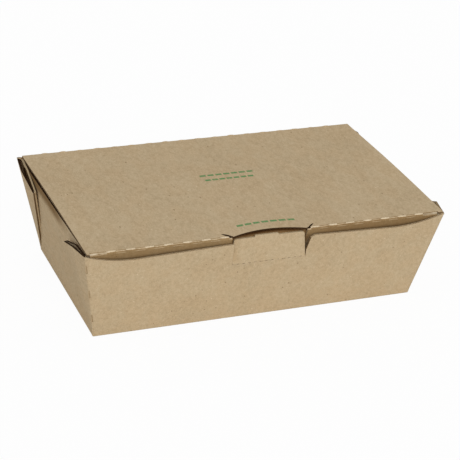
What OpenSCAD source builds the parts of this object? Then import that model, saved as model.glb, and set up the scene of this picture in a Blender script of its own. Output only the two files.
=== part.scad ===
// Takeaway box folded from one sheet of thin brown corrugated board.
// A tapered tray with gusseted corners, a lid hinged on the back rim with a tuck flap along
// its front, and a lock tab slit out of the front wall that stands in the lid's slot.
// X runs along the length and the front is at -Y. The origin is on the table, at the
// middle of the box.

/* [Tray] */
// Length of the front wall's foot, corner to corner
base_length = 226; // [180:1:280]
// Depth of the bottom, front to back
base_depth = 124; // [100:1:160]
// Height of the rim above the table
rim_height = 65.7; // [55:0.1:80]
// How far each corner leans out lengthwise between table and rim
end_flare = 12; // [8:0.5:16]
// How far the front and back walls lean out between table and rim
front_flare = 14; // [11:0.5:17]
// Thickness of the board
board = 1.2; // [0.9:0.1:1.5]

/* [Front edge] */
// How far the front wall's top edge dips below the rim at its lowest
scoop_depth = 6.4; // [4.5:0.1:8]
// Length over which that edge falls from the corner to its lowest
scoop_run = 33; // [25:1:50]
// How far the edge climbs again between its lowest and the lock tab
scoop_climb = 2.2; // [1:0.1:3.5]

/* [Gusset corners] */
// Length of a gusset's top edge that stays level with the rim
shelf_length = 17; // [12:0.5:22]
// Length of a gusset's folded edge, from the bottom corner up
fold_length = 63; // [50:0.5:66]
// How far a gusset's outer layer stands off the end wall's inner face at the top
gusset_belly = 5; // [3.6:0.1:6]
// How far the corner crease springs away from the end wall at the rim
corner_spring = 2.2; // [1.8:0.1:3]
// Gap between two layers of board that are folded together
ply_gap = 0.25; // [0.15:0.05:0.4]

/* [Lid] */
// Gap between the lid's underside and the rim
lid_gap = 0.3; // [0.25:0.05:0.6]
// How far the lid's ends stand back from the rim's corners
lid_inset = 1; // [0:0.1:1.5]
// How far the lid's ends sit to the right of the tray's middle
lid_shift = 0.8; // [-1.5:0.1:1.5]
// How far the lid's front crease stands back from the front wall's face
crease_inset = 1.1; // [1:0.1:1.8]
// Length of the tuck flap, crease to free edge
tuck_length = 28; // [20:1:36]
// Angle of the tuck flap in from upright
tuck_lean = 25; // [22:1:32]
// Gap between the tuck flap's ends and the end walls at the crease
tuck_gap = 0.5; // [0.4:0.1:3]
// How much the tuck flap narrows at each end between crease and free edge
tuck_taper = 5; // [4:0.5:12]
// Radius of the tuck flap's free corners
tuck_corner = 10; // [5:1:14]
// Radius of the bead that the lid turns on where its hinge crease isn't cut
bead_radius = 0.5; // [0.35:0.05:0.6]

/* [Lock] */
// Width of the lock tab at its perforation
tab_width = 52; // [40:1:60]
// Height of the lock tab, perforation to shoulders
tab_height = 19.4; // [16:0.2:20.8]
// How far below the rim the tab's perforation lies
tab_drop = 21.1; // [20.6:0.1:26]
// Angle that the tab leans in from the front wall's face
tab_lean = 7; // [5:0.5:9]
// How much the tab narrows at each side between perforation and shoulders
tab_taper = 1; // [0.5:0.1:2]
// Radius of the tab's shoulders
tab_corner = 1.6; // [1:0.1:3]
// Width of the nub on top of the tab
nub_width = 16.4; // [10:0.2:24]
// Height of the nub on top of the tab
nub_height = 1.2; // [0.6:0.1:1.4]
// Distance of the nub's middle to the left of the tab's middle
nub_offset = 1.9; // [0:0.1:4]
// Gap round the tab at its slits and its perforation
slit_gap = 0.35; // [0.3:0.05:0.6]
// How far the torn notch at the tab's right opens at the top
notch_open = 2.8; // [2:0.2:5]
// Depth of that notch, from the wall's top edge down
notch_depth = 12; // [8:0.5:14]
// Depth of the finger arc cut back into the lid's front edge
arc_depth = 5.5; // [3.6:0.1:6]
// Length of the slits that run back from the ends of the finger arc
ear_length = 7.3; // [5:0.1:9]
// Angle of those slits from the lid's front edge
ear_angle = 41; // [30:1:55]
// Width of those slits
ear_width = 0.7; // [0.4:0.1:1.2]

/* [Cut creases] */
// Length of each cut along the lid's creases
crease_cut = 6.6; // [5:0.1:8]
// Length of board left between those cuts
crease_bridge = 6; // [4:0.1:8]
// Length of each cut along the tray's corner creases
corner_cut = 6.6; // [4:0.1:8]
// Spacing of the cuts along the tray's corner creases
corner_pitch = 21; // [18:0.5:24]
// Depth of the dent that a cut leaves in a crease
cut_depth = 0.35; // [0.2:0.05:0.5]
// Spacing of the nicks along the tab's perforation
nick_pitch = 4; // [3:0.5:6]

/* [Hidden] */
$fn = 64;
kraft = [0.71, 0.62, 0.5];
kraft_lid = [0.68, 0.6, 0.49];
kraft_tab = [0.73, 0.65, 0.52];

// Clearance between parts of the box that turn past each other
clear = 0.3;
// Gap between the lid's hinge beads and the back wall
hinge_room = 0.35;
// How far a cutting shape runs past what it cuts
past = 1;
// How far each flat panel runs into its creases, so that they are one sheet
lap = 0.04;
// How much thinner than the panels the pressed board of a crease is
pressed = 0.01;
steps = 12;

// Lean of the front and back walls, and of the corners along the length
front_slope = front_flare / rim_height;
end_slope = end_flare / rim_height;
front_angle = atan(front_slope);
end_angle = atan(end_slope);

// Inner faces of the outer shell, measured on top of the bottom and at the rim
foot_y = base_depth / 2 - board * (1 - sin(front_angle)) / cos(front_angle);
foot_x = base_length / 2 - board * (1 - sin(end_angle)) / cos(end_angle);
wall_rise = rim_height - board;
rim_y = foot_y + wall_rise * front_slope;
rim_x = foot_x + wall_rise * end_slope;
wall_slant = wall_rise / cos(front_angle);

// Outward normals of the front wall and of an end wall
front_normal = [0, -cos(front_angle), -sin(front_angle)];
wall_x = rim_x - corner_spring;
wall_angle = atan((wall_x - foot_x) / wall_rise);
end_normal = [cos(wall_angle), 0, -sin(wall_angle)];

// Corners of the front right gusset's outer layer on its inner face: toe at the bottom, crest
// on the rim, peak where the level shelf ends, heel at the top of the folded edge
toe = [foot_x, -foot_y, board];
crest = [rim_x, -rim_y, rim_height];
peak = [wall_x, -rim_y + shelf_length, rim_height] + gusset_belly * end_normal;

// The folded edge halves the corner that the blank leaves between its two walls
slant_direction = unit([wall_x - foot_x, 0, wall_rise]);
wall_slope = norm([wall_x - foot_x, wall_rise]);
front_edge_angle = atan((rim_x - foot_x) / wall_slant);
end_edge_angle = atan((rim_y - foot_y) / wall_slope);
fold_angle = (90 - front_edge_angle - end_edge_angle) / 2 - end_edge_angle;
heel = toe + fold_length * (sin(fold_angle) * [0, 1, 0] + cos(fold_angle) * slant_direction)
    + gusset_belly * end_normal;

// The end wall and the gusset's inner layer stop short of the front wall. Inner layer: its
// corners on its outer face, which the outer layer is folded onto
side_inset = (board + ply_gap / 2 + clear) / cos(front_angle);
stack = 2 * board + ply_gap;
inner_share = side_inset * cos(end_edge_angle) / sin(end_edge_angle + fold_angle) / fold_length;
inner_toe = toe + inner_share * (heel - toe);
inner_crest = [wall_x, -rim_y + side_inset, rim_height] + (stack + ply_gap) * end_normal;
inner_normal = unit(cross(heel - inner_toe, inner_crest - inner_toe));
inner_y = -rim_y + shelf_length;
inner_peak = [inner_crest[0] - inner_normal[1] / inner_normal[0] * (inner_y - inner_crest[1]),
    inner_y, rim_height - stack * sin(wall_angle)];

// The lid's underside, its hinge line behind the rim and its front crease
lid_z = rim_height + lid_gap;
rim_back = rim_y + board * cos(front_angle);
rim_edge_z = rim_height - board * sin(front_angle);
hinge_reach = bead_radius + hinge_room;
hinge_y = rim_back + sqrt(pow(hinge_reach, 2) - pow(min(lid_z - rim_edge_z, hinge_reach), 2));
lid_half = rim_x + board - lid_inset;
crease_y = rim_back - crease_inset - board;
tuck_half = wall_x - tuck_gap;
tuck_normal = [0, -cos(tuck_lean), -sin(tuck_lean)];
front_edge_y = crease_y + board;

// The lock: a slot as wide as the tab in the lid's crease, and the tab's hinge line
arc_half = tab_width / 2;
slot_half = arc_half + board / tan(ear_angle) + ear_width / sin(ear_angle);
tab_half = arc_half + clear;
arc_radius = (pow(arc_half, 2) + pow(arc_depth, 2)) / (2 * arc_depth);
perforation = wall_slant - tab_drop;
tab_angle = front_angle - tab_lean;
tab_foot_y = foot_y + perforation * sin(front_angle);
tab_foot_z = board + perforation * cos(front_angle);

// Depth of the slot in the tuck flap, down to where the flap passes clear behind the tab
flap_y = crease_y + board * cos(tuck_lean);
flap_z = lid_z - board * sin(tuck_lean);
slot_z = (tab_foot_y - flap_y + (flap_z * tan(tuck_lean)) - tab_foot_z * tan(tab_angle)
    - 2 * clear) / (tan(tuck_lean) - tan(tab_angle));
slot_depth = (flap_z - slot_z) / cos(tuck_lean);

// Half of the difference between how far the box reaches back and forward
middle_y = (hinge_y + bead_radius - rim_back) / 2;

// Vector of length 1 along v
function unit(v) = v / norm(v);

// Angle between two unit vectors
function turn(a, b) = acos(a * b);

// Turn that carries X onto the unit vector u and Z onto the unit vector n
function facing(u, n) =
    let (v = cross(n, u))
    norm([u[0], u[1]]) < 0.0001
        ? [0, asin(-u[2]), atan2(-v[0], v[1])]
        : [atan2(v[2], n[2]), asin(-u[2]), atan2(u[1], u[0])];

// Points of an arc from angle a to angle b
function arc(centre, radius, a, b) =
    [for (i = [0:steps]) let (t = a + (b - a) * i / steps) centre + radius * [cos(t), sin(t)]];

module on_plane(p, u, n) {
    translate(p) rotate(facing(u, n)) children();
}

// Corners of the outline p, given anticlockwise, with every edge moved out by d
function grown(p, d) =
    let (n = len(p))
    [for (i = [0:n - 1])
        let (a = unit(p[i] - p[(i + n - 1) % n]), b = unit(p[(i + 1) % n] - p[i]))
        let (s = [a[1] + b[1], -a[0] - b[0]])
        p[i] + s * d / (1 + a * b)];

// A flat panel of board whose inner face has the corners p, anticlockwise seen from outside
module panel(p) {
    u = unit(p[1] - p[0]);
    n = unit(cross(u, p[len(p) - 1] - p[0]));
    v = cross(n, u);
    on_plane(p[0], u, n)
        linear_extrude(board)
            polygon(grown([for (q = p) [(q - p[0]) * u, (q - p[0]) * v]], lap));
}

// A crease along the line from p to q: board that starts on the side n and turns by angle
// round that line, right-handed, with the radius inner on its inside
module crease(p, q, n, angle, inner = 0, thickness = board) {
    root = max(inner, lap / 2);
    on_plane(p, n, unit(q - p))
        rotate_extrude(angle = angle)
            translate([root, 0])
                square([inner + thickness - pressed - root, norm(q - p)]);
}

module both_ends() {
    children();
    mirror([1, 0, 0]) children();
}

module both_walls() {
    children();
    mirror([0, 1, 0]) children();
}

// Dents of the cuts along the corner crease, counted down from the rim
module corner_cuts() {
    along = unit(crest - toe);
    side = unit(front_normal + [1, 0, 0]);
    outward = unit(side - (side * along) * along);
    length = norm(crest - toe);
    for (d = [corner_cut:corner_pitch:length - corner_cut])
        on_plane(crest - (d + corner_cut) * along, outward, along)
            translate([board - cut_depth, -board, 0])
                cube([board, 2 * board, corner_cut]);
}

// One gusset, folded double outside the end wall
module gusset() {
    shelf_normal = unit(cross(peak - toe, crest - toe));
    slope_normal = unit(cross(heel - toe, peak - toe));
    ply = ply_gap / 2 * unit(slope_normal + inner_normal);
    panel([toe, peak, crest]);
    panel([toe, heel, peak]);
    crease(toe, peak, shelf_normal, turn(shelf_normal, slope_normal));
    difference() {
        crease(toe, crest, front_normal, turn(front_normal, shelf_normal));
        corner_cuts();
    }
    translate(toe) sphere(board);
    difference() {
        union() {
            panel([for (q = [inner_toe, heel, inner_peak, inner_crest])
                q - (board + ply_gap) * inner_normal]);
            crease(toe - ply, heel - ply, slope_normal, 180 - turn(slope_normal, inner_normal),
                ply_gap / 2 + pressed, board - pressed);
            back_fold();
        }
        box_side();
    }
}

// The space inside the box, up to a plane a quarter of the board deep in the end wall
module box_side() {
    reach = 3 * rim_height;
    depth = 3 * board;
    on_plane([foot_x, -foot_y, board], [0, 1, 0], end_normal)
        translate([-past, -past - rim_height, board / 4 - depth])
            cube([reach, reach, depth]);
}

// Round edge where the end wall turns back into the gusset's inner layer. The two layers are
// pressed into one at the foot.
module back_fold() {
    out = board / 2 * end_normal;
    foot = [foot_x, -foot_y + side_inset, board] + out;
    rim = [wall_x, -rim_y + side_inset, rim_height] + stack / 2 * end_normal;
    along = unit(rim - foot);
    length = norm(rim - foot) - stack * tan(wall_angle);
    start = unit(-end_normal + (end_normal * along) * along);
    on_plane(foot, start, along)
        rotate_extrude(angle = 180)
            polygon([[0, 0], [board / 2, 0], [stack / 2 - pressed, length], [0, length]]);
}

module end_wall() {
    y_foot = foot_y - side_inset;
    y_rim = rim_y - side_inset;
    panel([[foot_x, -y_foot, board], [foot_x, y_foot, board], [wall_x, y_rim, rim_height],
        [wall_x, -y_rim, rim_height]]);
    crease([foot_x, -y_foot, board], [foot_x, y_foot, board], end_normal, 90 - wall_angle);
}

// Foot crease of the front or back wall
module wall_foot() {
    crease([-foot_x, -foot_y, board], [foot_x, -foot_y, board], front_normal, 90 - front_angle);
}

// Carries an outline drawn with X along the wall and Y up its slant onto the front wall
module on_front_wall() {
    translate([0, -foot_y, board]) rotate([90 + front_angle, 0, 0]) children();
}

// The front wall with its scooped top edge
module front_outline() {
    low = wall_slant - scoop_depth;
    radius = (pow(scoop_run, 2) + pow(scoop_depth, 2)) / (2 * scoop_depth);
    sweep = asin(scoop_run / radius);
    top = arc([rim_x + lap - scoop_run, low + radius], radius, sweep - 90, -90);
    half = concat([[foot_x + lap, -lap]], top, [[slot_half, low + scoop_climb]]);
    polygon(concat(half, [for (i = [len(half) - 1:-1:0]) [-half[i][0], half[i][1]]]));
}

// The opening that the lock tab leaves, with the torn notch at its right
module lock_opening() {
    half = tab_width / 2 + slit_gap;
    low = wall_slant - scoop_depth + scoop_climb;
    height = tab_drop + past;
    lip = 2;
    lip_end = half + notch_open + 1.5 * lip;
    translate([-half, perforation]) square([2 * half, height]);
    polygon([[0, low - notch_depth], [half, low - notch_depth], [half + notch_open, low - lip],
        [lip_end, low + 2 * lap], [lip_end, low + past], [0, low + past]]);
}

module tray() {
    color(kraft)
        translate([0, -middle_y, 0]) {
            translate([-foot_x - lap, -foot_y - lap, 0])
                cube([2 * (foot_x + lap), 2 * (foot_y + lap), board]);
            both_walls() wall_foot();
            both_ends() {
                end_wall();
                both_walls() gusset();
            }
            on_front_wall() linear_extrude(board) difference() {
                front_outline();
                lock_opening();
            }
            mirror([0, 1, 0]) on_front_wall() linear_extrude(board)
                polygon(grown([[-foot_x, 0], [foot_x, 0], [rim_x, wall_slant],
                    [-rim_x, wall_slant]], lap));
        }
}

// The lid's panel seen from above, with the finger arc and its ear slits cut out
module lid_outline() {
    difference() {
        union() {
            translate([lid_shift - lid_half, -crease_y - lap])
                square([2 * lid_half, crease_y + lap + hinge_y]);
            translate([-arc_half, -front_edge_y]) square([2 * arc_half, board]);
            translate([tuck_half + clear, -front_edge_y])
                square([lid_half + lid_shift - tuck_half - clear, board]);
            translate([lid_shift - lid_half, -front_edge_y])
                square([lid_half - lid_shift - tuck_half - clear, board]);
        }
        translate([0, arc_depth - front_edge_y - arc_radius]) circle(arc_radius, $fn = 256);
        both_sides() translate([arc_half, -front_edge_y])
            rotate(ear_angle) translate([-past, -ear_width / 2])
                square([ear_length + past, ear_width]);
    }
}

module both_sides() {
    children();
    mirror([1, 0]) children();
}

// The tuck flap from the crease down, with the slot that the lock tab stands in
module tuck_outline() {
    side = atan(tuck_taper / tuck_length);
    corner_v = tuck_length - tuck_corner;
    corner_u = tuck_half - (tuck_corner + corner_v * sin(side)) / cos(side);
    half = concat([[tuck_half, -lap]], arc([corner_u, corner_v], tuck_corner, side, 90));
    difference() {
        polygon(concat(half, [for (i = [len(half) - 1:-1:0]) [-half[i][0], half[i][1]]]));
        translate([-tab_half, -past]) square([2 * tab_half, slot_depth + past]);
    }
}

// The front crease at the right of the slot: dented where it is cut, whole between the cuts
module front_crease() {
    sweep = 90 + tuck_lean;
    from = slot_half + lap;
    to = tuck_half - lap;
    crease([from, -crease_y, lid_z], [to, -crease_y, lid_z], [0, 0, 1], sweep, 0,
        board - cut_depth);
    for (x = [from + lap:crease_cut + crease_bridge:to - crease_bridge])
        crease([x, -crease_y, lid_z], [x + crease_bridge, -crease_y, lid_z], [0, 0, 1], sweep);
}

// Beads along the hinge line, one wherever the crease isn't cut
module hinge_beads() {
    pitch = crease_cut + crease_bridge;
    count = floor((2 * lid_half - crease_bridge) / pitch);
    for (i = [0:count])
        translate([(i - count / 2) * pitch - crease_bridge / 2, hinge_y, lid_z])
            rotate([0, 90, 0]) cylinder(h = crease_bridge, r = bead_radius);
}

module lid() {
    color(kraft_lid)
        translate([0, -middle_y, 0]) {
            translate([0, 0, lid_z]) linear_extrude(board) lid_outline();
            both_ends() front_crease();
            on_plane([0, -crease_y, lid_z], [-1, 0, 0], tuck_normal)
                linear_extrude(board) tuck_outline();
            hinge_beads();
        }
}

// The lock tab from its perforation up, with rounded shoulders and the nub
module tab_outline() {
    base = tab_width / 2;
    top = base - tab_taper;
    up = tab_height - tab_corner;
    foot_gap = slit_gap + board * tan(tab_lean);
    half = concat([[base, foot_gap]], arc([top - tab_corner, up], tab_corner, 0, 90));
    difference() {
        union() {
            polygon(concat(half, [for (i = [len(half) - 1:-1:0]) [-half[i][0], half[i][1]]]));
            translate([-nub_offset - nub_width / 2, tab_height - past])
                square([nub_width, nub_height + past]);
        }
        for (x = [-base + nick_pitch / 2:nick_pitch:base - nick_pitch / 2])
            translate([x, 0]) square([nick_pitch / 2, foot_gap + slit_gap]);
    }
}

module lock_tab() {
    color(kraft_tab)
        translate([0, -middle_y, 0])
            on_front_wall() translate([0, perforation, board]) rotate([-tab_lean, 0, 0])
                translate([0, 0, -board]) linear_extrude(board) tab_outline();
}

tray();
lid();
lock_tab();
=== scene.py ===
import math
import random

import bmesh
import bpy
from mathutils import Matrix, Vector


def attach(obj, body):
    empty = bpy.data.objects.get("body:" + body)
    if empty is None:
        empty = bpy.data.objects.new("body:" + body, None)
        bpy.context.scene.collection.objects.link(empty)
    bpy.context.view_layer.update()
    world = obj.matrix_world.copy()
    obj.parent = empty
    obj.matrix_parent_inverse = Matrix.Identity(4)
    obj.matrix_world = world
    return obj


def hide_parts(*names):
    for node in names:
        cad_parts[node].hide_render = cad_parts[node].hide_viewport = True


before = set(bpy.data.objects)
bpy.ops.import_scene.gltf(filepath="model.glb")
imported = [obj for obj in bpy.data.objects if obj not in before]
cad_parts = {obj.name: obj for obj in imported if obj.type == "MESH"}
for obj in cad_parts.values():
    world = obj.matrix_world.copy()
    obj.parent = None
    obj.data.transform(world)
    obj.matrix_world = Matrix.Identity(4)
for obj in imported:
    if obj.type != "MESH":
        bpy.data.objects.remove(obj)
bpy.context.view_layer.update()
bpy.ops.object.select_all(action="DESELECT")


# Board of the whole box: thin corrugated board of recycled kraft, brown and uncoated. Its faces
# are mottled, with dark specks, pale flecks and short pale fibres. A cut shows the flutes between
# two pale liners.
flute_pitch = 0.0023
kraft_dark = (150, 129, 98)
kraft_middle = (189, 168, 135)
kraft_pale = (211, 192, 161)


class Wire:
    """A socket of a material's node tree. Sums and products of wires add Math nodes."""

    def __init__(self, tree, socket=None):
        self.tree = tree
        self.socket = socket

    def node(self, kind, settings=None, inputs=None, output=0):
        """A new node with its settings and inputs, as the wire of one of its outputs."""
        made = self.tree.nodes.new("ShaderNode" + kind)
        for name, value in (settings or {}).items():
            if name == "stops":
                ramp = made.color_ramp.elements
                while len(ramp) < len(value):
                    ramp.new(0.5)
                for element, (place, colour) in zip(ramp, value):
                    element.position = place
                    element.color = colour
            else:
                setattr(made, name, value)
        for name, value in (inputs or {}).items():
            socket = made.inputs[name]
            if isinstance(value, Wire):
                self.tree.links.new(value.socket, socket)
            else:
                socket.default_value = value
        return Wire(self.tree, made.outputs[output])

    def maths(self, operation, *values):
        return self.node("Math", {"operation": operation}, dict(enumerate(values)))

    def __add__(self, other):
        return self.maths("ADD", self, other)

    __radd__ = __add__

    def __mul__(self, other):
        return self.maths("MULTIPLY", self, other)

    __rmul__ = __mul__

    def __sub__(self, other):
        return self.maths("SUBTRACT", self, other)

    def __rsub__(self, other):
        return self.maths("SUBTRACT", other, self)

    def __truediv__(self, other):
        return self.maths("DIVIDE", self, other)

    def __lt__(self, other):
        return self.maths("LESS_THAN", self, other)

    def __gt__(self, other):
        return self.maths("GREATER_THAN", self, other)

    def __abs__(self):
        return self.maths("ABSOLUTE", self)

    def wave(self, pitch):
        """A wave between -1 and 1 that repeats after each pitch."""
        return self.maths("SINE", self * (2 * math.pi / pitch))

    def within(self, pitch):
        """How far into its repeat of a pitch this wire is, from 0 to 1."""
        return self.maths("FRACT", self / pitch)

    def vector(self, operation, other=(0, 0, 0), output=0):
        """A Vector Math node on this vector and another."""
        return self.node("VectorMath", {"operation": operation}, {0: self, 1: other}, output)

    def dot(self, direction):
        """How far this vector reaches along a direction."""
        return self.vector("DOT_PRODUCT", tuple(direction), 1)

    def length(self):
        """How long this vector is."""
        return self.vector("LENGTH", output=1)

    def parts(self):
        """The X, Y and Z of this vector."""
        made = self.node("SeparateXYZ", {}, {"Vector": self})
        return [Wire(self.tree, socket) for socket in made.socket.node.outputs]

    def between(self, low, high):
        """0 below low, 1 above high and a smooth step in between."""
        return self.node(
            "MapRange",
            {"interpolation_type": "SMOOTHSTEP"},
            {"Value": self, "From Min": low, "From Max": high, "To Min": 0.0, "To Max": 1.0},
        )

    def mix(self, low, high):
        """The colour low where this wire is 0 and the colour high where it is 1."""
        return self.node("Mix", {"data_type": "RGBA"}, {0: self, 6: low, 7: high}, 2)


def ink(red, green, blue):
    """A colour picked as 8-bit sRGB, as the nodes take it."""
    linear = [((c / 255 + 0.055) / 1.055) ** 2.4 for c in (red, green, blue)]
    return (*linear, 1.0)


class Board:
    """Kraft board as a material, with the wires that each piece's edges and marks are added to."""

    def __init__(self, name, middle=kraft_middle):
        self.material = bpy.data.materials.new(name)
        self.material.use_nodes = True
        self.start = Wire(self.material.node_tree)
        self.place = self.start.node("TexCoord", output=3)
        self.facing = self.start.node("TexCoord", output=1)
        drawn_out = (1.0, 0.52, 1.0)
        self.laid = self.place.vector("MULTIPLY", drawn_out)
        clouds = self.noise(scale=26.0, detail=3.0)
        self.mottle = self.noise(scale=420.0, detail=4.0, roughness=0.6)
        self.grain = self.noise(scale=1300.0, detail=3.0, roughness=0.6)
        warmth = self.noise(scale=85.0, detail=2.0)
        strands = self.noise(scale=210.0, detail=1.0, distortion=2.4)
        fibre = (abs(strands - 0.5) < 0.005) * self.grain.between(0.52, 0.6)
        spots = {"Vector": self.laid, "Scale": 260.0}
        off_spot = self.start.node("TexVoronoi", {}, spots)
        lot = self.start.node("TexVoronoi", {}, spots, 1).parts()[0]
        speck = (off_spot < 0.13) * (lot < 0.13)
        fleck = (off_spot < 0.11) * (lot > 0.9)
        tone = (
            0.5
            + (clouds - 0.5) * 0.2
            + (self.mottle - 0.5) * 0.46
            + (self.grain - 0.5) * 0.6
            + fibre * 0.14
            - speck * 0.4
            + fleck * 0.32
        )
        self.colour = self.start.node(
            "ValToRGB",
            {"stops": [(0.1, ink(*kraft_dark)), (0.5, ink(*middle)), (0.9, ink(*kraft_pale))]},
            {"Fac": tone},
        )
        warm_tint = (1.0, 0.965, 0.93)
        self.stain(warmth.between(0.38, 0.62) * 0.6, warm_tint)
        cloud_height = 0.00016
        pulp_height = 0.000016
        fibre_height = 0.00003
        self.height = (
            clouds * cloud_height
            + self.mottle * pulp_height
            + self.grain * pulp_height
            + fibre * fibre_height
        )

    def noise(self, scale, detail, roughness=0.5, distortion=0.0):
        """Noise on the board, drawn out along Y as the pulp is."""
        return self.start.node(
            "TexNoise",
            {},
            {
                "Vector": self.laid,
                "Scale": scale,
                "Detail": detail,
                "Roughness": roughness,
                "Distortion": distortion,
            },
        )

    def paint(self, mask, colour):
        """The colour where the mask is 1."""
        self.colour = mask.mix(self.colour, colour)

    def stain(self, mask, factors):
        """The board's own colour times the factors where the mask is 1."""
        self.colour = self.start.node(
            "Mix",
            {"data_type": "RGBA", "blend_type": "MULTIPLY"},
            {0: mask, 6: self.colour, 7: (*factors, 1.0)},
            2,
        )

    def cut(self, mask, ply, run, core):
        """A cut through the board where the mask is 1: the core, its flutes and two liners."""
        off_middle = ply - 0.5
        flutes = abs(off_middle - run.wave(flute_pitch) * 0.26) < 0.14
        self.paint(mask, core)
        self.paint(mask * flutes, ink(176, 155, 122))
        self.paint(mask * (abs(off_middle) > 0.34), ink(206, 188, 158))

    def finish(self):
        """Joins the colour, roughness and bump to the shader and gives the material."""
        roughness = 0.86 + (self.mottle - 0.5) * 0.2
        bump = self.start.node(
            "Bump", {}, {"Height": self.height, "Distance": 1.0, "Strength": 0.8}
        )
        links = self.material.node_tree.links
        shader = self.material.node_tree.nodes["Principled BSDF"]
        links.new(self.colour.socket, shader.inputs["Base Color"])
        links.new(roughness.socket, shader.inputs["Roughness"])
        links.new(bump.socket, shader.inputs["Normal"])
        shader.inputs["Specular IOR Level"].default_value = 0.05
        return self.material


# Tray: the part of the sheet that makes the bottom, the four leaning walls and the gusset
# corners, which are folded double outside the end walls. The corners have sprung open a little.
sheet_thick = 0.0012
tray_middle = 0.000574

# Points of one gusset, from the tray's middle: the toe at the bottom corner, the crest at the
# rim's corner, the peak at the ridge's outer end, and the heel at the slope's far end.
toe = Vector((0.1120, 0.06103, 0.0012))
crest = Vector((0.12378, 0.07477, 0.0657))
peak = Vector((0.12653, 0.05777, 0.06497))
heel = Vector((0.12552, 0.03735, 0.05821))
inner_toe = Vector((0.11262, 0.05994, 0.00383))
inner_crest = Vector((0.12445, 0.07311, 0.06527))
front_lean = math.radians(12.03)
end_lean = math.radians(8.45)

# Each spring is a corner, how far round it the board bends, and how far the corner has moved.
# The walls are parted at the spring line, so the left corners bend only the board beyond it.
# Board above the bottom that lies within the lid's reach keeps its height.
springs = [
    (Vector((-0.1243, 0.0744, 0.0657)), 0.009, Vector((-0.0021, 0.0016, 0.0006))),
    (Vector((0.1271, -0.0583, 0.0648)), 0.008, Vector((0.0017, 0.0, 0.0013))),
    (Vector((0.1248, -0.0758, 0.0655)), 0.006, Vector((0.0011, 0.0, 0.0003))),
    (Vector((0.1271, 0.0572, 0.0648)), 0.008, Vector((-0.0008, 0.0040, 0.0017))),
    (Vector((-0.1130, -0.0626, 0.0006)), 0.008, Vector((-0.0008, -0.0007, 0.0))),
    (Vector((0.1130, -0.0626, 0.0006)), 0.008, Vector((0.0005, -0.0003, 0.0))),
]
spring_line = -0.115
lid_reach = 0.1236
bottom_reach = 0.01
left_facet = Vector((-0.1262, 0.0573, 0.064))
facet_half = 0.001
facet_gap = 0.0013

# The sides of the lock tab's opening are shifted to the right, most of all at their foot.
front_limit = -0.06
opening_half = 0.02635
opening_foot = 0.0448
opening_height = 0.0177
opening_right_shift = 0.0014
opening_left_shift = 0.0023
opening_left_taper = 0.00095


def sheet_of(node, name):
    """A copy of a CAD node with its loose triangles merged, left open in edit mode."""
    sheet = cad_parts[node].copy()
    sheet.data = sheet.data.copy()
    sheet.name = name
    sheet.parent = None
    sheet.matrix_world = Matrix.Identity(4)
    bpy.context.collection.objects.link(sheet)
    bpy.context.view_layer.objects.active = sheet
    sheet.select_set(True)
    bpy.ops.object.mode_set(mode="EDIT")
    bpy.ops.mesh.select_all(action="SELECT")
    bpy.ops.mesh.remove_doubles(threshold=0.000001)
    return sheet


tray = sheet_of("tray", "tray_sheet")
bpy.ops.mesh.bisect(plane_co=(spring_line, 0, 0), plane_no=(1, 0, 0))
bpy.ops.mesh.customdata_custom_splitnormals_clear()
bpy.ops.object.mode_set(mode="OBJECT")
for corner, reach, spring in springs:
    for vertex in tray.data.vertices:
        share = max(0, 1 - (vertex.co - corner).length / reach)
        moved = spring * share * share * (3 - 2 * share)
        if abs(vertex.co.x) < lid_reach and vertex.co.z > bottom_reach:
            moved.z = 0
        vertex.co += moved
for vertex in tray.data.vertices:
    at_facet = vertex.co.x < left_facet.x and abs(vertex.co.y - left_facet.y) < facet_half
    if at_facet and vertex.co.z > left_facet.z:
        vertex.co.x -= facet_gap
    if vertex.co.y < front_limit and abs(abs(vertex.co.x) - opening_half) < 1e-5:
        raised = (vertex.co.z - opening_foot) / opening_height
        if vertex.co.x > 0:
            vertex.co.x += opening_right_shift * (1 - raised)
        else:
            vertex.co.x += opening_left_shift - opening_left_taper * raised
bpy.ops.object.shade_flat()


def outward(a, b, c):
    """The direction square to the panel through three points, away from the box."""
    square = (b - a).cross(c - a).normalized()
    return square if square.x > 0 else -square


def plies(place, point, direction):
    """How deep a place lies in a layer of board that starts at a point: 0 to 1 inside it."""
    return (place.dot(direction) - direction.dot(point)) / sheet_thick


# The four corners are alike, so their layers are worked out in one quarter of the tray.
board = Board("tray_board")
x, y, _ = board.place.parts()
quarter = board.place.vector("ADD", (0, tray_middle, 0)).vector("ABSOLUTE")
across, along, up = quarter.parts()
sideways, toward, lifted = board.facing.vector("ABSOLUTE").parts()
front_ply = plies(quarter, toe, Vector((0, math.cos(front_lean), -math.sin(front_lean))))
end_ply = plies(quarter, toe, Vector((math.cos(end_lean), 0, -math.sin(end_lean))))
shelf_ply = plies(quarter, toe, outward(toe, crest, peak))
slope_ply = plies(quarter, toe, outward(toe, peak, heel))
inner_ply = plies(quarter, inner_toe, outward(inner_toe, inner_crest, heel)) + 1
corner_line = (crest - toe).normalized()
from_toe = quarter.vector("ADD", tuple(-toe))
off_corner = from_toe.vector("CROSS_PRODUCT", tuple(corner_line)).length()

# Cut edges: the rims that face up and the sides of the lock tab's opening. The rims of the gussets
# and end walls are painted dark as shade, less dark on the right, and the liners of their inner
# layers are painted in shade too. The outer facets' free edges and the opening's sides also get
# painted shade.
shaded_cut = ink(42, 26, 12)
lighter_shaded_cut = ink(128, 106, 76)
shaded_inner_liner = ink(76, 54, 30)
outer_liner = ink(168, 148, 116)
back_liner = ink(164, 146, 116)
hem_shade = ink(96, 74, 48)
wall_core = ink(140, 117, 86)
slit_shade = (0.5, 0.4, 0.29)
slit_front = -0.055
slit_reach = 0.04
slit_shade_foot = 0.045
back_start = 0.03
hem_foot = 0.004
corner_clear = 0.004

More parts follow.
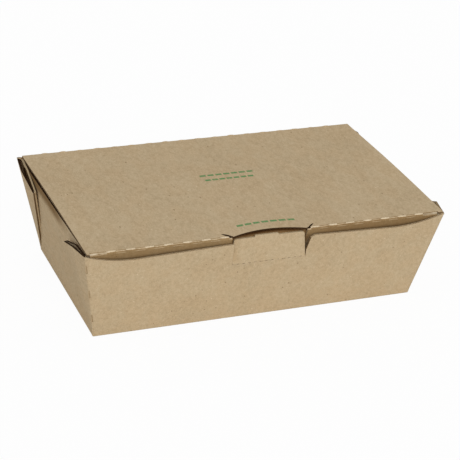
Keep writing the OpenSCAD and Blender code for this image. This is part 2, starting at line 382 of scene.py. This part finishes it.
trim = (lifted > 0.6) * (up > bottom_reach)
slit = (sideways > 0.7) * (y < slit_front) * (across < slit_reach) * (up > bottom_reach)
at_back = y > back_start
# Painted shade on the rims: dark on the left, lighter on the right.
board.paint(trim, shaded_cut)
board.paint(trim * (x > 0), lighter_shaded_cut)
for ply, tone in [
    (end_ply, shaded_inner_liner),
    (inner_ply, shaded_inner_liner),
    (shelf_ply, outer_liner),
    (slope_ply, outer_liner),
]:
    liner = abs(ply - 0.97) < 0.1
    board.paint(trim * (1 - at_back) * liner * 0.7, tone)
board.paint(trim * at_back * (abs(inner_ply - 0.5) < 0.6), back_liner)
# Painted shade on the free edges of the outer facets.
hem = (abs(slope_ply - 0.5) < 0.54) * (toward > 0.5) * (off_corner > corner_clear)
board.paint(hem * (across > toe.x) * (up > hem_foot) * (1 - trim), hem_shade)
wall_edge = (trim + slit) * (abs(front_ply - 0.5) < 0.56)
board.cut(wall_edge, front_ply, across, wall_core)
board.stain(slit * (up > slit_shade_foot), slit_shade)

# Shadows: the pockets between the layers, the end walls under the lid, and the corner creases.
pocket_shade = (0.2, 0.13, 0.07)
brow_shade = (0.4, 0.31, 0.2)
dent_shade = (0.55, 0.47, 0.38)
pocket_foot = 0.03
brow_start = (-0.04, 0.0)
brow_rise = (0.054, 0.0625)
brow_end = 0.037
dent_half = 0.00112

depth = 0.8 - at_back * 0.75
pocket = (end_ply > 1.5) * (inner_ply > 0.9) * (slope_ply < depth) * (shelf_ply < depth)
pocket = pocket * (off_corner > corner_clear) * (up > pocket_foot) * (1 - trim)
board.stain(pocket * 0.95, pocket_shade)
brow = (end_ply > 0.9) * (inner_ply < 1.3) * up.between(*brow_rise) * y.between(*brow_start)
brow = brow * (1 - (along > brow_end) * (abs(inner_ply - 1) < 0.2) * 0.8) * (1 - trim)
board.stain(brow * 0.95, brow_shade)
dent = (off_corner < dent_half) * (front_ply > 0.3) * (shelf_ply > 0.3) * (1 - trim)
board.stain(dent * 0.6, dent_shade)
tray.data.materials.clear()
tray.data.materials.append(board.finish())
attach(tray, "tray")
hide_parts("tray")
tray.select_set(False)


# Hinge bridges: crushed strips of the sheet, left whole between the cuts of the hinge crease.
# They join the back wall's rim to the beads that the lid turns on.
bridge_count = 20
bridge_length = 0.006
hinge_pitch = 0.0126
bridge_thick = 0.0005
bridge_round = 0.00012
rim_corner = Vector((0, 0.07505, 0.06515))
hinge_line = Vector((0, 0.07602, 0.0660))
bridge_run = hinge_line - rim_corner
first_bridge = -(bridge_count - 1) / 2 * hinge_pitch


def repeat_along(piece, count, pitch):
    """Repeats the active piece along X, a pitch apart, in its own mesh."""
    row = piece.modifiers.new("row", "ARRAY")
    row.count = count
    row.use_relative_offset = False
    row.use_constant_offset = True
    row.constant_offset_displace = (pitch, 0, 0)
    bpy.ops.object.modifier_apply(modifier="row")


bpy.ops.mesh.primitive_cube_add(size=1)
bridges = bpy.context.object
bridges.name = "hinge_bridges"
bridges.scale = (bridge_length, bridge_run.length, bridge_thick)
bpy.ops.object.transform_apply(location=False, rotation=False, scale=True)
bpy.ops.object.mode_set(mode="EDIT")
bpy.ops.mesh.bevel(offset=bridge_round, segments=2)
bpy.ops.object.mode_set(mode="OBJECT")
bridges.rotation_euler = (math.atan2(bridge_run.z, bridge_run.y), 0, 0)
bridges.location = (rim_corner + hinge_line) / 2
bridges.location.x = first_bridge
bpy.ops.object.transform_apply(location=True, rotation=True, scale=False)
repeat_along(bridges, bridge_count, hinge_pitch)
bpy.ops.object.shade_smooth_by_angle(angle=math.radians(40))

board = Board("bridge_board", middle=(180, 158, 125))
board.paint(board.grain.between(0.55, 0.7) * 0.5, ink(205, 187, 157))
bridges.data.materials.append(board.finish())
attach(bridges, "tray")
bridges.select_set(False)


# Lid: the panel that closes the box, arched a little between its creases, and its tuck flap. The
# board below the front crease is painted darker as shade, and three rows of green dashes are
# printed on it.
lid_under = 0.0660
lid_bow = 0.0009
bow_half = 0.0725
bow_steps = 5
bow_step = 0.012
lid_end = 0.124
end_swell = 0.0002
lid_front = -0.07542
crease_axis = Vector((0, -0.07422, 0.0660))
crease_end = 0.1212
tuck_lean = math.radians(25)
slot_half = 0.02845
arc_half = 0.026
bridge_start = 0.02853

lid = sheet_of("lid", "lid_sheet")
for line in range(-bow_steps, bow_steps + 1):
    bpy.ops.mesh.select_all(action="SELECT")
    bpy.ops.mesh.bisect(plane_co=(0, line * bow_step, 0), plane_no=(0, 1, 0))
bpy.ops.object.mode_set(mode="OBJECT")
for vertex in lid.data.vertices:
    if vertex.co.z > lid_under - 1e-5 and abs(vertex.co.y) < bow_half:
        vertex.co.z += lid_bow * (1 - (vertex.co.y / bow_half) ** 2) ** 1.5
    if vertex.co.x > lid_end:
        vertex.co.x += end_swell
bpy.ops.object.shade_smooth_by_angle(angle=math.radians(12))

board = Board("lid_board")
x, y, z = board.place.parts()
side = abs(x)
_, toward, lifted = board.facing.parts()
in_panel = z > lid_under
bow = 1 - y * y / bow_half**2
panel_ply = (z - lid_under - bow * bow * lid_bow * (bow > 0)) / sheet_thick
tuck_out = Vector((0, -math.cos(tuck_lean), -math.sin(tuck_lean)))
tuck_facing = board.facing.dot(tuck_out)
tuck_ply = plies(board.place, crease_axis, tuck_out)

# Front crease: the board rounds it. Below, it and the top of the tuck flap are painted in shade,
# more so on the right; above, it is painted pale as a highlight, paler and fuzzy where a bridge
# is stretched.
stretched_liner_highlight = ink(222, 205, 176)
crease_shade = (0.6, 0.515, 0.395)
right_shade = (0.88, 0.84, 0.79)
right_run = (0.0, 0.07)
flap_shade_rise = (0.0525, 0.0595)

rounding = in_panel * (y < crease_axis.y) * (side > slot_half) * (side < crease_end)
bridging = (side - bridge_start).within(hinge_pitch) < bridge_length / hinge_pitch
bent = rounding * (toward < -0.12)
lit = bent * (toward + (board.mottle - 0.5) * 0.9 > -0.72)
shade = (1 - in_panel) * (tuck_facing > 0.7) * z.between(*flap_shade_rise)
board.stain(bent * (1 - lit) + shade, crease_shade)
board.stain((bent + shade) * x.between(*right_run) * 0.9, right_shade)
board.paint(lit * (0.25 + bridging * 0.55), stretched_liner_highlight)

# Cut edges of the panel and of its finger arc, with a short slit like an ear at each end of it.
# The arc's edge, the ears' cut sides and a band along each slit, widest in its middle, are
# painted dark as shade.
panel_core = ink(104, 81, 55)
panel_liner = ink(190, 170, 138)
arc_shade = ink(52, 33, 16)
arc_flute = ink(84, 62, 40)
ear_side_shade = ink(52, 35, 19)
ear_shade = ink(56, 38, 21)
ear_side_start = 0.0262
ear_side_end = 0.034
ear_side_front = -0.0752
ear_angle = math.radians(41)
ear_length = 0.0086
ear_gape = 0.00062
left_gape = 0.0005

panel_edge = in_panel * (abs(lifted) < 0.5) * (1 - rounding)
arc_edge = panel_edge * (side < slot_half) * (toward < -0.3)
board.paint(panel_edge, panel_core)
board.paint(panel_edge * (abs(panel_ply - 0.5) > 0.36), panel_liner)
board.paint(arc_edge, arc_shade)
board.paint(arc_edge * (abs(panel_ply - 0.5 - x.wave(flute_pitch) * 0.24) < 0.1), arc_flute)
ear_side = panel_edge * (side > ear_side_start) * (side < ear_side_end) * (y > ear_side_front)
board.paint(ear_side, ear_side_shade)
past_arc = side - arc_half
off_front = y - lid_front
slit_run = past_arc * math.cos(ear_angle) + off_front * math.sin(ear_angle)
slit_off = abs(past_arc * math.sin(ear_angle) - off_front * math.cos(ear_angle))
gape = slit_run.wave(2 * ear_length) * (ear_gape + (x < 0) * left_gape)
ear = (slit_off < gape) * (slit_run > 0) * (slit_run < ear_length) * in_panel
board.paint(ear, ear_shade)

# Tuck flap: its cut edge, and the shadow where it shows through the notch beside the lock tab.
flap_core = ink(120, 97, 68)
flap_liner = ink(200, 182, 150)
notch_shade = (0.4, 0.3, 0.19)
flap_top = 0.0652
notch_start = 0.0258
notch_end = (0.0275, 0.031)
notch_top = (0.056, 0.065)

flap_edge = (1 - in_panel) * (abs(tuck_facing) < 0.5) * (z < flap_top)
behind_notch = (1 - in_panel) * (x > notch_start) * (1 - x.between(*notch_end))
behind_notch = behind_notch * (1 - z.between(*notch_top))
board.stain(behind_notch * 0.8, notch_shade)
board.paint(flap_edge, flap_core)
board.paint(flap_edge * (abs(tuck_ply - 0.5) > 0.36), flap_liner)

# Print: each row of dashes has its left and right end, its place along Y and the rise of its bow.
dash_rows = [
    (-0.0157, 0.0246, 0.0135, 0.0),
    (-0.0143, 0.0221, 0.0063, 0.0),
    (-0.0184, 0.0236, -0.0622, 0.0019),
]
dash_count = 7
dash_fill = 0.78
dash_half = 0.0012
print_green = ink(70, 133, 78)

dashes = None
for left, right, row, rise in dash_rows:
    swing = (x - (left + right) / 2) * (2 / (right - left))
    level = row + (1 - swing * swing) * rise
    repeat_run = (x - left).within((right - left) / dash_count)
    dash = (repeat_run < dash_fill) * (abs(y - level) < dash_half) * (x > left) * (x < right)
    dashes = dash if dashes is None else dashes + dash
printed = dashes * (lifted > 0.9) * board.grain.between(0.3, 0.42)
board.paint(printed * 0.82, print_green)

# Scuffs: each faint line is part of a ring, with its middle, its radius and its reach along Y.
scuff_lines = [
    ((-0.0845, 0.041, 0), 0.0135, 0.047, 0.058),
    ((-0.062, -0.037, 0), 0.019, -0.046, -0.029),
]
scuff_half = 0.0004
scuff_depth = 0.00008
scuff_reach = 0.004
scuff_shade = (0.85, 0.82, 0.76)

scuff = None
in_plan = board.place.vector("MULTIPLY", (1, 1, 0))
for centre, radius, start, end in scuff_lines:
    off_ring = abs(in_plan.vector("SUBTRACT", centre).length() - radius)
    mark = (1 - (off_ring / scuff_half).between(0.3, 1.0)) * (y > start) * (y < end)
    mark = mark * (x < centre[0] + scuff_reach)
    scuff = mark if scuff is None else scuff + mark
scuff = scuff * (lifted > 0.9)
board.stain(scuff * 0.5, scuff_shade)
board.height = board.height - scuff * scuff_depth
lid.data.materials.clear()
lid.data.materials.append(board.finish())
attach(lid, "lid")
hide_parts("lid")
lid.select_set(False)


# Crease bulges: between the cuts of the lid's two creases the outer liner is stretched round
# the bend and stands up as a ridge. The ridges of the front crease are painted pale and
# slightly fuzzy, as stretched liner and as a highlight.
front_ridges = 7
front_place = Vector((0, -0.07474, 0.06700))
front_tilt = 50
rear_place = Vector((0, 0.07567, 0.06710))
rear_tilt = -20
ridge_deep = 0.00052
ridge_high = 0.00034
rear_lift = 1.5
ridge_stray = 0.0004

bpy.ops.mesh.primitive_uv_sphere_add(segments=12, ring_count=8, radius=1)
bulge = bpy.context.object
bulge.name = "bulge_form"
bulge.select_set(False)
chance = random.Random(11)
ridges = []
places = []
for k in range(front_ridges):
    for end in (-1, 1):
        middle = end * (bridge_start + bridge_length / 2 + k * hinge_pitch)
        places.append((middle, front_place, front_tilt))
for k in range(1, bridge_count - 1):
    places.append(((k - (bridge_count - 1) / 2) * hinge_pitch, rear_place, rear_tilt))
for middle, place, tilt in places:
    ridge = bulge.copy()
    ridge.data = bulge.data.copy()
    bpy.context.collection.objects.link(ridge)
    ridge.scale = (
        bridge_length * chance.uniform(0.42, 0.56),
        ridge_deep * chance.uniform(0.85, 1.15),
        ridge_high * chance.uniform(0.8, 1.25) * (rear_lift if place.y > 0 else 1),
    )
    ridge.rotation_euler = (math.radians(tilt), 0, 0)
    ridge.location = (middle + chance.uniform(-ridge_stray, ridge_stray), place.y, place.z)
    ridges.append(ridge)
bpy.data.objects.remove(bulge)
for ridge in ridges:
    ridge.select_set(True)
bpy.context.view_layer.objects.active = ridges[0]
bpy.ops.object.join()
bulges = bpy.context.object
bulges.name = "crease_bulges"
bpy.ops.object.transform_apply(location=True, rotation=True, scale=True)
bpy.ops.object.shade_smooth()

board = Board("bulge_board")
front_ridge = board.place.parts()[1] < 0
board.paint(front_ridge * (0.5 + board.grain.between(0.4, 0.6) * 0.3), stretched_liner_highlight)
bulges.data.materials.append(board.finish())
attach(bulges, "lid")
bulges.select_set(False)


# Flap strip: the part of the tuck flap that lies behind the lock tab. The tab holds it back, so it
# leans in towards the finger arc above it, where it shows in the gap. Its outer face is painted
# in brown shade towards the top and near black shade just under the arc.
strip_left = -0.0262
strip_right = 0.0283
strip_low = Vector((0, -0.0712, 0.0570))
strip_top = 0.06585
strip_thick = 0.0008
strip_curl = 1.6
furthest_out = -0.0718
arc_clearance = 0.0005
arc_depth = 0.0055
arc_radius = (arc_half**2 + arc_depth**2) / (2 * arc_depth)
arc_middle = lid_front + arc_depth - arc_radius
strip_shade = (0.6, 0.47, 0.32)
strip_shade_rise = (0.0555, 0.0575)
gap_shade = (0.2, 0.13, 0.07)
gap_shade_rise = (0.0632, 0.0656)

bpy.ops.mesh.primitive_grid_add(x_subdivisions=28, y_subdivisions=6, size=2)
strip = bpy.context.object
strip.name = "flap_strip"
for vertex in strip.data.vertices:
    out = strip_left + (strip_right - strip_left) * (vertex.co.x + 1) / 2
    lift = (vertex.co.y + 1) / 2
    arc_line = arc_middle + math.sqrt(arc_radius**2 - min(abs(out), arc_half) ** 2)
    upper = max(arc_line + arc_clearance, furthest_out)
    back = strip_low.y + (upper - strip_low.y) * lift**strip_curl
    vertex.co = Vector((out, back, strip_low.z + (strip_top - strip_low.z) * lift))
thick = strip.modifiers.new("board", "SOLIDIFY")
thick.thickness = strip_thick
thick.offset = -1
bpy.ops.object.modifier_apply(modifier="board")
bpy.ops.object.shade_smooth_by_angle(angle=math.radians(35))

board = Board("strip_board")
strip_up = board.place.parts()[2]
outer_face = board.facing.parts()[1] < 0
board.stain(outer_face * strip_up.between(*strip_shade_rise), strip_shade)
board.stain(outer_face * strip_up.between(*gap_shade_rise), gap_shade)
strip.data.materials.append(board.finish())
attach(strip, "lid")
strip.select_set(False)


# Lock tab: a tongue of the front wall, slit free at its sides and held along a perforated line.
# It stands a little in from the wall and ends in a low nub under the lid's finger arc.
tab_width = 0.0522
tab_height = 0.0193
tab_gap = 0.00006
tab_round = 0.0016
nub_half = 0.0082
nub_middle = -0.0019
nub_height = 0.0012
nub_round = 0.0005
tab_side = 0.02
tab_right_shift = 0.0014
tab_right_taper = 0.0029
tab_left_shift = 0.0022
tab_left_taper = 0.0007
tab_foot = Vector((0, -0.0721232, 0.0448132))
tab_lean = math.radians(5.03)
nick_count = 13
nick_pitch = 0.004
nick_deep = 0.004
nick_high = 0.0006
nick_level = 0.0001
tab_core = ink(150, 128, 96)
left_shade = (0.8, 0.68, 0.52)
left_shade_run = (0.0015, 0.008)
left_shade_rise = (0.045, 0.05)

bpy.ops.mesh.primitive_cube_add(size=1, location=(0, sheet_thick / 2, tab_height / 2 + tab_gap))
tab = bpy.context.object
tab.name = "tab_sheet"
tab.scale = (tab_width, sheet_thick, tab_height)
bpy.ops.object.transform_apply(location=True, rotation=False, scale=True)
bpy.ops.object.mode_set(mode="EDIT")
for cut in (nub_middle - nub_half, nub_middle + nub_half):
    bpy.ops.mesh.select_all(action="SELECT")
    bpy.ops.mesh.bisect(plane_co=(cut, 0, 0), plane_no=(1, 0, 0))
bpy.ops.mesh.select_all(action="DESELECT")
mesh = bmesh.from_edit_mesh(tab.data)
for face in mesh.faces:
    middle = face.calc_center_median()
    if face.normal.z > 0.9 and abs(middle.x - nub_middle) < nub_half:
        face.select = True
bmesh.update_edit_mesh(tab.data)
bpy.ops.mesh.extrude_region_move(TRANSFORM_OT_translate={"value": (0, 0, nub_height)})
for middle_x, half, top, round_off in [
    (0, tab_width / 2, tab_height, tab_round),
    (nub_middle, nub_half, tab_height + nub_height, nub_round),
]:
    bpy.ops.mesh.select_all(action="DESELECT")
    mesh = bmesh.from_edit_mesh(tab.data)
    for edge in mesh.edges:
        a, b = (v.co for v in edge.verts)
        across_sheet = abs(a.x - b.x) < 1e-6 and abs(a.z - b.z) < 1e-6
        if across_sheet and a.z > top - 1e-4 and abs(abs(a.x - middle_x) - half) < 1e-5:
            edge.select = True
    bmesh.update_edit_mesh(tab.data)
    bpy.ops.mesh.bevel(offset=round_off, segments=5)
mesh = bmesh.from_edit_mesh(tab.data)
for vertex in mesh.verts:
    raised = vertex.co.z / tab_height
    if vertex.co.x > tab_side:
        vertex.co.x += tab_right_shift - tab_right_taper * raised
    elif vertex.co.x < -tab_side:
        vertex.co.x += tab_left_shift - tab_left_taper * raised
bmesh.update_edit_mesh(tab.data)
bpy.ops.object.mode_set(mode="OBJECT")

bpy.ops.object.select_all(action="DESELECT")
bpy.ops.mesh.primitive_cube_add(size=1)
nick = bpy.context.object
nick.name = "nick_cutter"
nick.scale = (nick_pitch / 2, nick_deep, nick_high)
nick.location = (-tab_width / 2 + nick_pitch * 0.55, sheet_thick / 2, nick_level)
bpy.ops.object.transform_apply(location=True, rotation=False, scale=True)
repeat_along(nick, nick_count, nick_pitch)
nick.select_set(False)
tab.select_set(True)
bpy.context.view_layer.objects.active = tab
cutting = tab.modifiers.new("nicks", "BOOLEAN")
cutting.operation = "DIFFERENCE"
cutting.solver = "EXACT"
cutting.object = nick
bpy.ops.object.modifier_apply(modifier="nicks")
bpy.data.objects.remove(nick)
tab.rotation_euler = (tab_lean, 0, 0)
tab.location = tab_foot
bpy.ops.object.transform_apply(location=True, rotation=True, scale=False)
bpy.ops.object.shade_smooth_by_angle(angle=math.radians(30))

board = Board("tab_board")
x, _, z = board.place.parts()
tab_in = Vector((0, math.cos(tab_lean), math.sin(tab_lean)))
tab_ply = plies(board.place, tab_foot, tab_in)
tab_edge = abs(board.facing.dot(tab_in)) < 0.5
board.cut(tab_edge, tab_ply, x, tab_core)
at_left = (1 - (x + tab_width / 2).between(*left_shade_run)) * z.between(*left_shade_rise)
board.stain(at_left * 0.3, left_shade)
tab.data.materials.append(board.finish())
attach(tab, "lock_tab")
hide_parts("lock_tab")
tab.select_set(False)


# Studio: a pale sheet of paper under the box, one wide soft lamp in front and to the left, and
# an even pale room. The camera sees the paper and the room almost white.
paper_size = 8
paper_tone = 0.86
paper_glow = 0.95
room_light = 0.57
lamp_from = Vector((-0.2, -0.78, 0.59))
lamp_strength = 1.5
lamp_softness = 0.6

bpy.ops.mesh.primitive_plane_add(size=paper_size)
floor = bpy.context.object
floor.name = "studio_floor"
paper = bpy.data.materials.new("studio_paper")
paper.use_nodes = True
matt = paper.node_tree.nodes["Principled BSDF"]
matt.inputs["Base Color"].default_value = (paper_tone, paper_tone, paper_tone, 1)
matt.inputs["Roughness"].default_value = 0.9
seen = Wire(paper.node_tree).node("LightPath")
glow = seen.node("Emission", {}, {"Color": (1, 1, 1, 1), "Strength": 1.0})
paper_mix = seen.node(
    "MixShader", {}, {0: seen * paper_glow, 1: Wire(paper.node_tree, matt.outputs[0]), 2: glow}
)
paper.node_tree.links.new(
    paper_mix.socket, paper.node_tree.nodes["Material Output"].inputs["Surface"]
)
floor.data.materials.append(paper)

room = bpy.data.worlds.new("studio_room")
bpy.context.scene.world = room
room.use_nodes = True
seen = Wire(room.node_tree).node("LightPath")
walls = room.node_tree.nodes["Background"]
walls.inputs["Color"].default_value = (1, 1, 1, 1)
brightness = seen * (1 - room_light) + room_light
room.node_tree.links.new(brightness.socket, walls.inputs["Strength"])

bpy.ops.object.light_add(type="SUN")
lamp = bpy.context.object
lamp.name = "key_lamp"
lamp.data.energy = lamp_strength
lamp.data.angle = lamp_softness
lamp.rotation_euler = lamp_from.to_track_quat("Z", "Y").to_euler()


# Camera: a little above the box, off its left front corner, through a long lens and slightly
# tilted, as the photograph was taken.
camera_place = Vector((-0.4034, -0.946474, 0.5479))
camera_lens = 130.9
camera_film = 36
yaw, pitch, roll = (math.radians(a) for a in (23.28, 26.63, 4.07))

ahead = Vector(
    (math.sin(yaw) * math.cos(pitch), math.cos(yaw) * math.cos(pitch), -math.sin(pitch))
)
untilted = Vector((math.cos(yaw), -math.sin(yaw), 0))
upright = untilted.cross(ahead)
view_right = math.cos(roll) * untilted + math.sin(roll) * upright
view_up = math.cos(roll) * upright - math.sin(roll) * untilted
bpy.ops.object.camera_add()
camera = bpy.context.object
camera.name = "camera"
camera.data.lens = camera_lens
camera.data.sensor_width = camera_film
camera.data.clip_end = 20
turn = Matrix((view_right, view_up, -ahead)).transposed().to_4x4()
camera.matrix_world = Matrix.Translation(camera_place) @ turn
bpy.context.scene.camera = camera
bpy.context.scene.view_settings.view_transform = "Standard"
